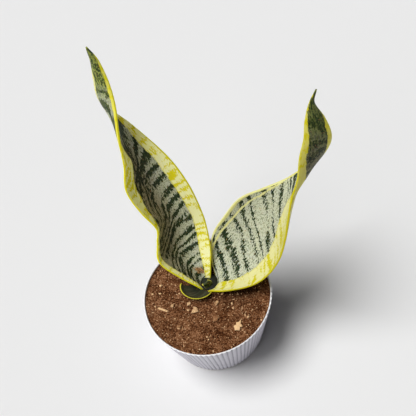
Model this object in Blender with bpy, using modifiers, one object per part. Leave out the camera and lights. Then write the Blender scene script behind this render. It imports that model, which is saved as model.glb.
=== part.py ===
"""A potted snake plant: two broad twisting leaves, a young leaf and a sheath leaf in a ribbed pot of soil."""

import math

import bmesh
import bpy
import numpy as np

# Pot, in metres. The pot stands on z = 0 and is centred on the z axis.
POT_HEIGHT = 0.070
RIM_RADIUS = 0.060
FOOT_RADIUS = 0.046
RIM_WALL = 0.0016
WALL_THICKENING = 0.0012
POT_FLOOR = 0.004
LIP_ROUND = 0.0005
FOOT_ROUND = 0.0012
RIB_COUNT = 80
RIB_DEPTH = 0.0005
RIB_POINTS = 4

# Soil.
SOIL_BELOW_RIM = 0.0022
SOIL_CROWN = 0.0012
GAP = 0.0003
TURNED_STEPS = 96

# Leaves. Their tables are in millimetres from the crown point on the soil, and LEAF_SCALE sizes them all.
LEAF_SCALE = 1.0
BLADE_THICKNESS = 0.0032
EDGE_THICKNESS = 0.0026
TIP_THICKNESS = 0.0012
TAPER_SHARE = 0.25
TAPER_CURVE = 0.7
SHOULDER = 0.18
HOLLOW_WIDENING = 0.6
MOST_THICKNESS_SHARE = 0.75
SOCKET_CLEARANCE = 0.0006
BLADE_ROWS = 40
YOUNG_ROWS = 13
SOCKET_ROWS = 5
YOUNG_SOCKET_ROWS = 9
BLADE_PLACES = 11
YOUNG_PLACES = 5
ROUNDING_PLACES = (0.0, 0.3, 1.0)
YOUNG_THICKNESS = 0.0016

# Sheath leaf, a low cup round the front of the crown. Angles are in degrees, and it spreads to both sides.
SHEATH_THICKNESS = 0.0011
SHEATH_FOOT_RADIUS = 0.0120
SHEATH_RIM_RADIUS = 0.0190
SHEATH_HEIGHT = 0.0090
SHEATH_END_SHARE = 0.55
SHEATH_RISE_CURVE = 0.6
SHEATH_ROOTED = 0.004
SHEATH_CENTRE = (-0.0045, 0.0135)
SHEATH_FACING = 236
SHEATH_FOOT_SPREAD = 52
SHEATH_RIM_SPREAD = 66
SHEATH_STEPS = 28
SHEATH_ROWS = 6

# Bark chips, each lying flat on the soil and a little darker than the one before it.
CHIP_THICKNESS = 0.0012
CHIP_SHADE = 0.39
CHIP_SHADE_STEP = 0.03
CHIP_TINT = (1.0, 0.62, 0.33)

MM = 0.001
CROWN_HEIGHT = POT_HEIGHT - SOIL_BELOW_RIM
SOIL_RADIUS = RIM_RADIUS - RIM_WALL - GAP

# Each row of a leaf: share of its length, left edge x y z, right edge x y z, left and right depth of hollow.
LEFT_LEAF = (
    (0.00, -2.5, 6.5, -11, 7, 15, -11, 9, 9),
    (0.05, -2.5, 6.5, 1, 7, 15, 1, 10, 10),
    (0.12, -19, 16, 17, 10, 21, 13, 12, 11),
    (0.20, -33, 26, 34, 14, 30, 25, 18, 16),
    (0.30, -30, 37, 52, 16, 43, 43, 23, 19),
    (0.36, -27, 43, 65, 16, 49, 55, 23, 19),
    (0.42, -35, 51, 82, 14, 56, 73, 23, 19),
    (0.50, -42, 62, 103, 10, 65, 92, 20, 18),
    (0.60, -37, 72, 128, -1, 81, 116, 13, 16),
    (0.70, -33, 80, 158, -22, 104, 140, 6, 10),
    (0.80, -28, 94, 182, -40, 112, 168, 4, 4),
    (0.90, -28, 104, 207, -39, 112, 198, 3, 3),
    (0.95, -30, 107, 222, -36, 111, 217, 2, 3),
    (1.00, -34.5, 107, 237, -35.4, 107.5, 236.4, 0.2, 0.2),
)
RIGHT_LEAF = (
    (0.00, 12.5, 17, -11, 1.6, 4, -11, 8, 8),
    (0.05, 12.5, 18, 1, 1.6, 4, 1, 8, 8),
    (0.10, 12, 26, 11, 14, -3.5, 8, 8, 8),
    (0.15, 14.5, 35, 22, 30, -9, 14, 10, 10),
    (0.22, 20, 41, 37, 45, -12, 21, 14, 14),
    (0.30, 33, 45, 53, 58, -12, 32, 17, 17),
    (0.40, 50, 47, 72, 70, -9, 49, 18, 16),
    (0.50, 70, 43, 84, 78, -5, 73, 16, 9),
    (0.60, 88, 38, 96, 84, 1, 96, 10, 5),
    (0.68, 99, 36, 104, 89, 5, 116, 6, 4),
    (0.76, 112, 30, 122, 96, 10, 133, 5, 5),
    (0.83, 126, 27, 140, 101, 18, 151, 4, 4),
    (0.88, 130, 27, 156, 107, 25, 163, 3, 3),
    (0.93, 127, 34, 171, 111, 33, 175, 3, 3),
    (0.97, 121, 42, 184, 117, 40, 186, 2, 2),
    (1.00, 124.5, 44.2, 194, 123.5, 43.8, 194.3, 0.2, 0.2),
)

# The young leaf, in the same form. Its hollow is negative, so it bulges forwards.
YOUNG_LEAF = (
    (0.00, 0, 8, -8, 7.5, 11, -8, -2, -2),
    (0.50, 0, 8, 1, 7.5, 11, 1, -2.5, -2.5),
    (0.80, -1, 8, 6, 6.5, 11, 7, -2.5, -2.5),
    (1.00, -2, 8, 9.5, 4.5, 10.5, 11, -2, -2),
)

# Each chip: its place in shares of the soil's radius, its turn in degrees, and its outline in millimetres.
CHIPS = (
    (0.355, -0.65, 8, ((-4.2, -3.2), (-0.6, -4.6), (2.0, -1.4), (4.4, 4.6), (1.2, 3.4), (-2.2, 0.6))),
    (-0.74, -0.04, -34, ((-5.2, -0.8), (5.0, -1.2), (5.4, 0.6), (-4.6, 1.2))),
    (-0.26, -0.20, 12, ((-3.8, -1.6), (-1.2, -2.6), (3.4, -3.4), (3.6, 0.4), (2.2, 3.2), (-0.8, 1.2))),
    (-0.32, -0.06, 25, ((-2.2, -1.2), (1.8, -1.6), (2.4, 0.8), (-0.6, 1.8))),
    (0.04, -0.44, -10, ((-2.6, -3.0), (1.4, -2.4), (3.0, 0.8), (0.8, 2.8), (-2.4, 1.6))),
    (0.11, -0.18, 40, ((-2.4, -1.4), (2.2, -1.8), (2.6, 1.0), (-1.2, 2.0))),
    (-0.58, -0.02, 70, ((-1.8, -1.2), (2.0, -1.4), (1.6, 1.2), (-1.4, 1.6))),
    (-0.55, -0.40, -20, ((-2.0, -1.6), (1.8, -1.2), (2.0, 1.4), (-1.6, 1.8))),
)


def clear_scene():
    for thing in list(bpy.data.objects):
        bpy.data.objects.remove(thing)


def new_collection(name, shown=True):
    group = bpy.data.collections.new(name)
    bpy.context.scene.collection.children.link(group)
    group.hide_render = not shown
    return group


def new_material(name, colour, roughness):
    material = bpy.data.materials.new(name)
    material.use_nodes = True
    shader = material.node_tree.nodes["Principled BSDF"]
    shader.inputs["Base Color"].default_value = (*colour, 1)
    shader.inputs["Roughness"].default_value = roughness
    return material


def new_object(name, points, faces, group, material=None):
    mesh = bpy.data.meshes.new(name)
    mesh.from_pydata([tuple(map(float, p)) for p in points], [], faces)
    mesh.update()
    thing = bpy.data.objects.new(name, mesh)
    group.objects.link(thing)
    if material:
        mesh.materials.append(material)
    return thing


def face_outwards(thing):
    form = bmesh.new()
    form.from_mesh(thing.data)
    bmesh.ops.recalc_face_normals(form, faces=form.faces)
    form.to_mesh(thing.data)
    form.free()


def turned(name, profile, group, material=None):
    """A solid turned round the z axis from (radius, height) points, its outer side running top to bottom."""
    points = [(radius, 0, height) for radius, height in profile]
    edges = [(i, i + 1) for i in range(len(points) - 1)]
    mesh = bpy.data.meshes.new(name)
    mesh.from_pydata(points, edges, [])
    thing = bpy.data.objects.new(name, mesh)
    group.objects.link(thing)
    if material:
        mesh.materials.append(material)
    screw = thing.modifiers.new("turn", "SCREW")
    screw.axis = "Z"
    screw.steps = TURNED_STEPS
    screw.render_steps = TURNED_STEPS
    screw.use_merge_vertices = True
    screw.merge_threshold = 0.0001
    screw.use_smooth_shade = False
    return thing


def cut(thing, cutter):
    boolean = thing.modifiers.new("cut " + cutter.name, "BOOLEAN")
    boolean.operation = "DIFFERENCE"
    boolean.solver = "EXACT"
    boolean.object = cutter
    cutter.hide_render = True
    cutter.display_type = "WIRE"


def smooth_values(stations, values, at):
    """Values along a smooth curve through the stations, with each slope taken from its neighbours."""
    slopes = np.gradient(values, stations, axis=0)
    first = np.clip(np.searchsorted(stations, at, side="right") - 1, 0, len(stations) - 2)
    span = (stations[first + 1] - stations[first])[:, None]
    t = (at - stations[first])[:, None] / span
    start = values[first] * (2 * t**3 - 3 * t**2 + 1)
    start = start + slopes[first] * span * (t**3 - 2 * t**2 + t)
    end = values[first + 1] * (3 * t**2 - 2 * t**3)
    end = end + slopes[first + 1] * span * (t**3 - t**2)
    return start + end


def unit(vectors):
    return vectors / np.maximum(np.linalg.norm(vectors, axis=-1, keepdims=True), 1e-12)


def edge_spacing(count, width, edge):
    """Places across a blade from 0 to 1, with extra ones close to both edges for their rounding."""
    near = np.array(ROUNDING_PLACES) * edge / width
    inner = np.linspace(near[-1], 1 - near[-1], count)[1:-1]
    return np.concatenate([near, inner, 1 - near[::-1]])


def blade_points(table, rows, across, thickness, edge_thickness, tip_thickness):
    """Both faces of a blade: two arrays of points, by row and place across."""
    table = np.array(table, float)
    at = np.asarray(rows, float)
    values = smooth_values(table[:, 0], table[:, 1:], at) * MM * LEAF_SCALE
    left = values[:, 0:3] + (0, 0, CROWN_HEIGHT)
    right = values[:, 3:6] + (0, 0, CROWN_HEIGHT)
    chord = right - left
    along = unit(np.gradient((left + right) / 2, at, axis=0))
    inward = unit(np.cross(chord, along))
    first = left + SHOULDER * chord - inward * values[:, 6:7]
    second = right - SHOULDER * chord - inward * values[:, 7:8]
    width = np.linalg.norm(chord, axis=1) + HOLLOW_WIDENING * (values[:, 6] + values[:, 7])
    full = np.clip((1 - at) / TAPER_SHARE, 0, 1) ** TAPER_CURVE
    most = width * MOST_THICKNESS_SHARE
    body = np.minimum(tip_thickness + (thickness - tip_thickness) * full, most)
    rim = np.minimum(tip_thickness + (edge_thickness - tip_thickness) * full, most)
    places = across + 2 * len(ROUNDING_PLACES) - 2
    middle = np.zeros((len(at), places, 3))
    half = np.zeros((len(at), places))
    for i in range(len(at)):
        u = edge_spacing(across, max(width[i], 1e-6), rim[i] / 2)
        s = u[:, None]
        middle[i] = (1 - s) ** 3 * left[i] + 3 * s * (1 - s) ** 2 * first[i]
        middle[i] += 3 * s**2 * (1 - s) * second[i] + s**3 * right[i]
        inset = np.clip(np.minimum(u, 1 - u) * width[i] / (rim[i] / 2), 0, 1)
        swell = np.sin(np.pi * u)
        half[i] = 0.5 * (rim[i] + (body[i] - rim[i]) * swell) * np.sqrt(1 - (1 - inset) ** 2)
    sideways = np.gradient(middle, axis=1)
    lengthways = np.gradient(middle, axis=0)
    normal = unit(np.cross(sideways, lengthways))
    normal[-1] = normal[-2]
    return middle + normal * half[..., None], middle - normal * half[..., None]


def blade_faces(rows, places):
    """Faces of a closed blade whose points are one ring per row: the front face, then the back face returning."""
    ring = 2 * places - 2
    faces = []
    for i in range(rows - 1):
        for j in range(ring):
            k = (j + 1) % ring
            faces.append((i * ring + j, i * ring + k, (i + 1) * ring + k, (i + 1) * ring + j))
    for row in (0, rows - 1):
        start = row * ring
        for j in range(places - 1):
            corners = [start + j, start + j + 1, start + ring - j - 1, start + (ring - j) % ring]
            unique = [c for n, c in enumerate(corners) if c not in corners[:n]]
            faces.append(tuple(unique if row == 0 else unique[::-1]))
    return faces


def add_blade(name, table, rows, across, group, material=None, sizes=None):
    thickness, edge, tip = sizes or (BLADE_THICKNESS, EDGE_THICKNESS, TIP_THICKNESS)
    front, back = blade_points(table, rows, across, thickness, edge, tip)
    places = front.shape[1]
    points = []
    for i in range(len(rows)):
        points.extend(front[i])
        points.extend(back[i, places - 2 : 0 : -1])
    thing = new_object(name, points, blade_faces(len(rows), places), group, material)
    face_outwards(thing)
    return thing


def socket(name, table, soil, rows, across, group, sizes=None):
    """Cuts a leaf's own rooted end, its lowest rows, out of the soil with a clearance all round."""
    cutter = add_blade(name, table, rows, across, group, sizes=sizes)
    grow = cutter.modifiers.new("clearance", "DISPLACE")
    grow.strength = SOCKET_CLEARANCE
    grow.mid_level = 0
    cut(soil, cutter)


def inner_radius(height):
    """The radius of the pot's hollow, which narrows evenly from the rim to the floor."""
    at_rim = RIM_RADIUS - RIM_WALL
    at_floor = FOOT_RADIUS - RIM_WALL - WALL_THICKENING
    return at_floor + (at_rim - at_floor) * (height - POT_FLOOR) / (POT_HEIGHT - POT_FLOOR)


def rib_ring(radius, height):
    """One level of the pot's outside: rounded ribs that meet in narrow grooves."""
    count = RIB_COUNT * RIB_POINTS
    points = []
    for i in range(count):
        turn = 2 * math.pi * i / count
        crest = abs(math.sin(RIB_COUNT * turn / 2))
        out = radius - RIB_DEPTH * (1 - crest)
        points.append((out * math.cos(turn), out * math.sin(turn), height))
    return points


def make_pot(group, cutters):
    levels = (
        (FOOT_RADIUS - FOOT_ROUND, 0),
        (FOOT_RADIUS, FOOT_ROUND),
        (RIM_RADIUS, POT_HEIGHT - LIP_ROUND),
        (RIM_RADIUS - LIP_ROUND, POT_HEIGHT),
    )
    points = []
    for radius, height in levels:
        points.extend(rib_ring(radius, height))
    count = RIB_COUNT * RIB_POINTS
    faces = []
    for level in range(len(levels) - 1):
        for i in range(count):
            k = (i + 1) % count
            low, high = level * count, (level + 1) * count
            faces.append((low + i, low + k, high + k, high + i))
    for centre, height in ((len(points), 0), (len(points) + 1, POT_HEIGHT)):
        points.append((0, 0, height))
        start = 0 if height == 0 else (len(levels) - 1) * count
        for i in range(count):
            faces.append((start + i, start + (i + 1) % count, centre))
    white = new_material("white_ceramic", (0.83, 0.83, 0.86), 0.45)
    pot = new_object("pot", points, faces, group, white)
    face_outwards(pot)
    above = POT_HEIGHT + RIM_WALL
    profile = ((0, above), (inner_radius(above), above), (inner_radius(POT_FLOOR), POT_FLOOR), (0, POT_FLOOR))
    cut(pot, turned("pot_hollow", profile, cutters))
    return pot


def soil_height(radius):
    """The soil's top, highest in the middle."""
    return CROWN_HEIGHT + SOIL_CROWN * (1 - (radius / SOIL_RADIUS) ** 2)


def make_soil(group):
    edge = inner_radius(CROWN_HEIGHT) - GAP
    profile = [(edge * share, soil_height(edge * share)) for share in (0, 0.25, 0.5, 0.75, 1)]
    bottom = POT_FLOOR + GAP
    profile.append((inner_radius(bottom) - GAP, bottom))
    profile.append((0, bottom))
    brown = new_material("soil", (0.12, 0.06, 0.03), 0.95)
    return turned("soil", profile, group, brown)


def add_sheath(name, group, material=None, grow=0.0):
    """A strip of a flaring cone round the front of the crown, highest in its middle."""
    points = []
    for row in range(SHEATH_ROWS + 1):
        share = row / SHEATH_ROWS
        for step in range(SHEATH_STEPS + 1):
            place = step / SHEATH_STEPS
            arch = math.sin(math.pi * place) ** SHEATH_RISE_CURVE
            top = SHEATH_HEIGHT * (SHEATH_END_SHARE + (1 - SHEATH_END_SHARE) * arch)
            height = (top + SHEATH_ROOTED + grow) * share - SHEATH_ROOTED - grow
            flare = max(0, height / SHEATH_HEIGHT)
            spread = SHEATH_FOOT_SPREAD + (SHEATH_RIM_SPREAD - SHEATH_FOOT_SPREAD) * flare
            half = math.radians(spread) + grow / SHEATH_FOOT_RADIUS
            turn = math.radians(SHEATH_FACING) + half * (2 * place - 1)
            radius = SHEATH_FOOT_RADIUS + (SHEATH_RIM_RADIUS - SHEATH_FOOT_RADIUS) * flare
            x = SHEATH_CENTRE[0] + radius * math.cos(turn)
            y = SHEATH_CENTRE[1] + radius * math.sin(turn)
            points.append((x * LEAF_SCALE, y * LEAF_SCALE, CROWN_HEIGHT + height * LEAF_SCALE))
    faces = []
    for row in range(SHEATH_ROWS):
        for step in range(SHEATH_STEPS):
            low = row * (SHEATH_STEPS + 1) + step
            high = low + SHEATH_STEPS + 1
            faces.append((low, low + 1, high + 1, high))
    sheath = new_object(name, points, faces, group, material)
    shell = sheath.modifiers.new("thickness", "SOLIDIFY")
    shell.thickness = SHEATH_THICKNESS + 2 * grow
    shell.offset = 0
    shell.use_even_offset = True
    return sheath


def make_leaves(group, cutters, soil):
    green = new_material("variegated_leaf", (0.30, 0.36, 0.24), 0.45)
    young_green = new_material("young_leaf", (0.06, 0.11, 0.04), 0.5)
    papery = new_material("sheath_leaf", (0.35, 0.33, 0.08), 0.6)
    rows = np.linspace(0, 1, BLADE_ROWS)
    young_sizes = (YOUNG_THICKNESS, YOUNG_THICKNESS, YOUNG_THICKNESS)
    add_blade("leaf_left", LEFT_LEAF, rows, BLADE_PLACES, group, green)
    add_blade("leaf_right", RIGHT_LEAF, rows, BLADE_PLACES, group, green)
    young_rows = np.linspace(0, 1, YOUNG_ROWS)
    add_blade("young_leaf", YOUNG_LEAF, young_rows, YOUNG_PLACES, group, young_green, young_sizes)
    add_sheath("sheath_leaf", group, papery)
    rooted = rows[:SOCKET_ROWS]
    socket("left_socket", LEFT_LEAF, soil, rooted, BLADE_PLACES, cutters)
    socket("right_socket", RIGHT_LEAF, soil, rooted, BLADE_PLACES, cutters)
    rooted = young_rows[:YOUNG_SOCKET_ROWS]
    socket("young_socket", YOUNG_LEAF, soil, rooted, YOUNG_PLACES, cutters, young_sizes)
    cut(soil, add_sheath("sheath_socket", cutters, grow=SOCKET_CLEARANCE))


def make_chips(group):
    for number, (across, back, turn, outline) in enumerate(CHIPS, 1):
        curve = bpy.data.curves.new("bark_chip_%d" % number, "CURVE")
        curve.dimensions = "2D"
        curve.fill_mode = "BOTH"
        curve.extrude = CHIP_THICKNESS / 2
        line = curve.splines.new("POLY")
        line.points.add(len(outline) - 1)
        for point, (x, y) in zip(line.points, outline):
            point.co = (x * MM, y * MM, 0, 1)
        line.use_cyclic_u = True
        shade = CHIP_SHADE - CHIP_SHADE_STEP * (number - 1)
        colour = [shade * part for part in CHIP_TINT]
        curve.materials.append(new_material(curve.name, colour, 0.9))
        chip = bpy.data.objects.new(curve.name, curve)
        x, y = across * SOIL_RADIUS, back * SOIL_RADIUS
        chip.location = (x, y, soil_height(math.hypot(x, y)) + GAP + CHIP_THICKNESS / 2)
        chip.rotation_euler = (0, 0, math.radians(turn))
        group.objects.link(chip)


def main():
    clear_scene()
    parts = new_collection("snake_plant")
    cutters = new_collection("cutters", shown=False)
    make_pot(parts, cutters)
    soil = make_soil(parts)
    make_leaves(parts, cutters, soil)
    make_chips(parts)


main()
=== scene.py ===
import math

import bmesh
import bpy
import numpy as np
from mathutils import Matrix, Vector, noise


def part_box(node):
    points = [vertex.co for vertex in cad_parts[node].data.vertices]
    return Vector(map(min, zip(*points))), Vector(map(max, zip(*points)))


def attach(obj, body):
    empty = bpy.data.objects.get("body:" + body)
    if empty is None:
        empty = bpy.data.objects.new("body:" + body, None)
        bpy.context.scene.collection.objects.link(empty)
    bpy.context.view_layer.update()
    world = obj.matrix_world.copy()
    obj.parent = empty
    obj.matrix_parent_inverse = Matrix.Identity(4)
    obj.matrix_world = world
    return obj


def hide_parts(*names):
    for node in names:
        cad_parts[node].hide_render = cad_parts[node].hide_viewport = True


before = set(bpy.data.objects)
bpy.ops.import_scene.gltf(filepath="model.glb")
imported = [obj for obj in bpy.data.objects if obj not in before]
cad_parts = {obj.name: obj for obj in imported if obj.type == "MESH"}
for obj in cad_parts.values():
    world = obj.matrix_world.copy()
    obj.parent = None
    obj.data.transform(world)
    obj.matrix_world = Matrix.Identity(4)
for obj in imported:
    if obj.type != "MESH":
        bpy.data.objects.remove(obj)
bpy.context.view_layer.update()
print("frame loaded:", len(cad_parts), "nodes")

mm = 0.001
soilCrown = 1.2  # how far the soil's middle stands above its edge, in millimetres
potLow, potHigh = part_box("pot")
rimRadius = (potHigh.x - potLow.x) / 2
rimHeight = potHigh.z
crownPoint = Vector((0, 0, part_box("soil")[1].z - soilCrown * mm))  # the plant's own zero


# one shader socket, with the arithmetic that the materials use
class Wire:
    def __init__(self, tree, socket=None):
        self.tree = tree
        self.socket = socket

    def node(self, kind, settings=None, values=None, out=0):
        made = self.tree.nodes.new(kind)
        for name, value in (settings or {}).items():
            if name == "stops":
                ramp = made.color_ramp.elements
                while len(ramp) < len(value):
                    ramp.new(1)
                for stop, (place, colour) in zip(ramp, value):
                    stop.position = place
                    stop.color = (*colour, 1)
            else:
                setattr(made, name, value)
        for name, value in (values or {}).items():
            if isinstance(value, Wire):
                self.tree.links.new(value.socket, made.inputs[name])
            elif isinstance(value, tuple) and len(value) == 3 and made.inputs[name].type == "RGBA":
                made.inputs[name].default_value = (*value, 1)
            else:
                made.inputs[name].default_value = value
        return Wire(self.tree, made.outputs[out])

    def maths(self, operation, first, second=0.0):
        return self.node("ShaderNodeMath", {"operation": operation}, {0: first, 1: second})

    def __add__(self, other):
        return self.maths("ADD", self, other)

    def __radd__(self, other):
        return self.maths("ADD", other, self)

    def __sub__(self, other):
        return self.maths("SUBTRACT", self, other)

    def __rsub__(self, other):
        return self.maths("SUBTRACT", other, self)

    def __mul__(self, other):
        return self.maths("MULTIPLY", self, other)

    def __rmul__(self, other):
        return self.maths("MULTIPLY", other, self)

    def wave(self, pitch):
        return self.maths("SINE", self * (2 * math.pi / pitch))

    def most(self, other):
        return self.maths("MAXIMUM", self, other)

    # 0 below low, 1 above high, with a smooth step between
    def step(self, low, high):
        values = {"Value": self, "From Min": low, "From Max": high}
        return self.node("ShaderNodeMapRange", {"interpolation_type": "SMOOTHSTEP"}, values)

    def parts(self):
        return [self.node("ShaderNodeSeparateXYZ", None, {0: self}, end) for end in range(3)]

    def scaled(self, x, y, z):
        return self.node("ShaderNodeVectorMath", {"operation": "MULTIPLY"}, {0: self, 1: (x, y, z)})

    def noise(self, x, y, z, detail=2.0, roughness=0.55):
        values = {"Vector": self.scaled(x, y, z), "Scale": 1.0, "Detail": detail, "Roughness": roughness}
        return self.node("ShaderNodeTexNoise", None, values)

    # self is the factor between two colours
    def mix(self, under, over, blend="MIX"):
        settings = {"data_type": "RGBA", "blend_type": blend}
        return self.node("ShaderNodeMix", settings, {0: self, 6: under, 7: over}, 2)

    # self brightens or darkens a colour
    def shade(self, colour):
        values = {0: colour, "Scale": self}
        return self.node("ShaderNodeVectorMath", {"operation": "SCALE"}, values)


def newMaterial(name, **constants):
    material = bpy.data.materials.new(name)
    material.use_nodes = True
    shader = material.node_tree.nodes["Principled BSDF"]
    for socket, value in constants.items():
        shader.inputs[socket.replace("_", " ")].default_value = value
    return material, Wire(material.node_tree), shader


def connect(material, wire, shader, socket):
    material.node_tree.links.new(wire.socket, shader.inputs[socket])


# a vector that a piece carries at each of its points
def carried(start, name):
    return start.node("ShaderNodeAttribute", {"attribute_name": name}, None, "Vector")


def position(start):
    return start.node("ShaderNodeNewGeometry", None, None, "Position")


def bumped(start, height, strength, distance):
    return start.node("ShaderNodeBump", None, {"Height": height, "Strength": strength, "Distance": distance})


def newPiece(name, points, faces, material, nodes):
    mesh = bpy.data.meshes.new(name)
    mesh.from_pydata(np.asarray(points, float).tolist(), [], faces)
    mesh.materials.append(material)
    mesh.update()
    mesh.shade_smooth()
    piece = bpy.data.objects.new(name, mesh)
    bpy.context.scene.collection.objects.link(piece)
    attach(piece, "root")
    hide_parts(*nodes)
    return piece


def addVectors(piece, name, vectors):
    layer = piece.data.attributes.new(name, "FLOAT_VECTOR", "POINT")
    layer.data.foreach_set("vector", np.asarray(vectors, np.float32).ravel())


# from millimetres round the crown point to the frame's metres
def fromCrown(points):
    return np.array(points) * mm + np.array(crownPoint)


def roughness(x, y, seed):
    return noise.noise(Vector((x, y, seed)))


# the faces between rings of points, each with the same count; turned for rings that run from the top down
def wallFaces(rings, count, start=0, turned=False):
    faces = []
    for ring in range(rings - 1):
        low, high = start + ring * count, start + (ring + 1) * count
        for i in range(count):
            k = (i + 1) % count
            face = (low + i, low + k, high + k, high + i)
            faces.append(face[:1] + face[:0:-1] if turned else face)
    return faces


# one face over a ring of points, seen from above or from below
def lidFace(start, count, below=False):
    face = tuple(range(start, start + count))
    return face[::-1] if below else face


bladeStyle = {
    "across": 58,
    "rounding": (0.0, 0.08, 0.3, 0.6, 1.0),  # places of the points round a rim, in half rims
    "shoulder": 0.18,  # how far in the hollow's two bends stand, in shares of the width
    "widening": 0.6,
    "taperShare": 0.25,  # the share of the length in which the blade thins toward its tip
    "taperCurve": 0.7,
    "mostShare": 0.75,
    "crowdingReach": 0.09,  # the share of the length in which the bands crowd together at the foot
    "dryStretch": 0.9,
    "dryFade": 1.6,
    "backSeed": 5.0,  # the back of a blade is patterned apart from its front
}

# Rows run from the root to the tip, in millimetres from the crown point: share of the length,
# left edge x y z, right edge x y z, left and right depth of hollow.
leftLeaf = {
    "node": "leaf_left",
    "slices": 230,
    "thickness": 3.0,
    "rim": 1.9,
    "tip": 1.2,
    "rows": (
        (0.00, -2.5, 6.5, -11, 7, 15, -11, 9, 9),
        (0.05, -2.5, 6.5, 1, 7, 15, 1, 10, 10),
        (0.12, -19, 16, 17, 10, 21, 13, 12, 11),
        (0.20, -33, 26, 34, 14, 30, 25, 18, 16),
        (0.30, -30, 37, 52, 16, 43, 43, 23, 19),
        (0.36, -27, 43, 65, 16, 49, 55, 23, 19),
        (0.42, -35, 51, 82, 14, 56, 73, 23, 19),
        (0.50, -42, 62, 103, 10, 65, 92, 20, 18),
        (0.60, -37, 72, 128, -1, 81, 116, 13, 16),
        (0.70, -33, 80, 158, -22, 104, 140, 6, 10),
        (0.80, -28, 94, 182, -40, 112, 168, 4, 4),
        (0.90, -28, 104, 207, -39, 112, 198, 3, 3),
        (0.95, -30, 107, 222, -36, 111, 217, 2, 3),
        (1.00, -34.5, 107, 237, -35.4, 107.5, 236.4, 0.2, 0.2),
    ),
    # share of the length, then the widths of the left and the right yellow margin
    "margins": (
        (0.00, 2.5, 4.0),
        (0.05, 4.0, 5.0),
        (0.12, 6.0, 7.5),
        (0.20, 6.0, 12.0),
        (0.30, 4.0, 13.0),
        (0.36, 5.0, 13.2),
        (0.40, 8.0, 14.5),
        (0.46, 13.0, 16.2),
        (0.54, 13.5, 17.0),
        (0.61, 12.5, 13.0),
        (0.68, 4.5, 8.0),
        (0.75, 2.2, 5.0),
        (0.84, 3.3, 4.6),
        (0.90, 2.4, 4.8),
        (0.94, 1.6, 1.0),
        (0.97, 0.2, -1.0),
        (1.00, -2.0, -2.0),
    ),
    # how far the bands climb, in shares of the length, by place across; and how much of that, by share
    "bandShift": ((0.0, 0.21), (0.16, 0.20), (0.45, 0.05), (0.75, 0.0), (1.0, -0.02)),
    "bandRise": ((0.0, 0.1), (0.15, 0.8), (0.3, 1.0), (0.6, 1.0), (0.8, 0.2), (1.0, 0.0)),
    "green": ((0.0, 0.0), (0.72, 0.1), (0.82, 0.4), (0.89, 1.0), (1.0, 1.0)),
    "stripe": None,
    "drySpot": (0.112, 22.5, 3.6),  # share of the length, distance from the left edge, size
    # painted shade: how far the blade is darkened brown where shade falls on it, here its left half; then how
    # much of it the dark bands take, by share and by place across
    "paintedShadeAlong": ((0.0, 0.5), (0.1, 0.7), (0.3, 0.9), (0.5, 1.0), (0.66, 1.0), (0.72, 0.0), (1.0, 0.0)),
    "paintedShadeAcross": ((0.0, 1.0), (0.34, 1.0), (0.62, 0.0), (1.0, 0.0)),
    "boldAlong": ((0.0, 0.1), (0.2, 0.1), (0.5, 0.2), (0.62, 0.5), (0.75, 0.0), (1.0, 0.0)),
    "boldAcross": ((0.0, 0.3), (0.34, 0.2), (0.60, 0.0), (1.0, 0.2)),
    # painted light: how far the margin is lightened or dimmed for the light on it, lighter on the left
    # blade's shaded left side where light shines through; then how golden it is, by place across
    "paintedMarginLight": ((0.0, 1.15), (0.3, 1.15), (0.6, 1.05), (1.0, 1.05)),
    "gold": ((0.0, 1.0), (1.0, 1.0)),
    # where the margin turns golden toward the tip, by share and by place across
    "gilt": ((0.0, 0.0), (0.60, 0.0), (0.70, 0.8), (1.0, 0.8)),
    "giltAcross": ((0.0, 1.0), (0.5, 1.0), (0.6, 0.2), (1.0, 0.2)),
    # painted light: the left blade's tip green is lighter than the right blade's, for the light that falls on
    # it
    "tipGreen": (0.33, 0.37, 0.07),
    "tipDark": (0.012, 0.045, 0.006),
    "crowding": 0.11,
    "seed": 3.0,
}
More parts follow.
